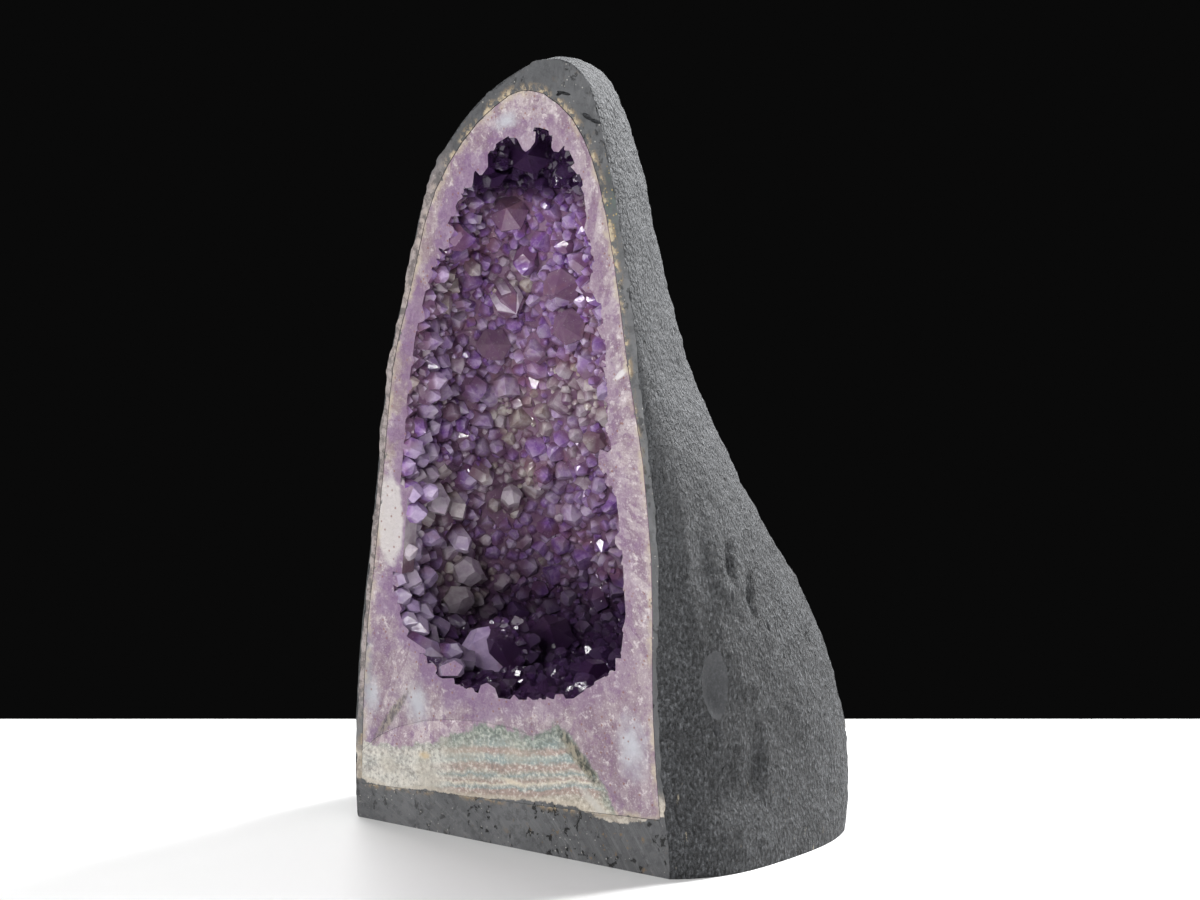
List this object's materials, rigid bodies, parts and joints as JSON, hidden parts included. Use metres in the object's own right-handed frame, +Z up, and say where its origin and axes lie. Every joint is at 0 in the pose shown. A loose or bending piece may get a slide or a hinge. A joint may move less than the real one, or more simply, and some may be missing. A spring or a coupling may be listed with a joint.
{
  "type": "amethyst geode",
  "caption": "Standing half of a basalt geode, sawn open and sawn flat at the foot, with a hollow lined by amethyst points.",
  "frame": {"origin": "middle of the foot, on the surface that the geode stands on", "axes": "+Z up; the sawn face with the hollow looks towards -Y; +X is to the right of a viewer who faces it"},
  "size_m": [0.2558, 0.191, 0.404],
  "materials": {
    "rind": "dull, finely granular weathered basalt; ground smooth on the saw cuts",
    "agate": "honed, wavy bands of blue-green, cream and pinkish brown",
    "quartz": "glossy see-through violet crystals on a paler milky wall, honed at the saw cut"
  },
  "bodies": {
    "root": {"basalt_rind": "rind", "banded_agate": "agate", "amethyst_druse": "quartz"}
  },
  "joints": []
}
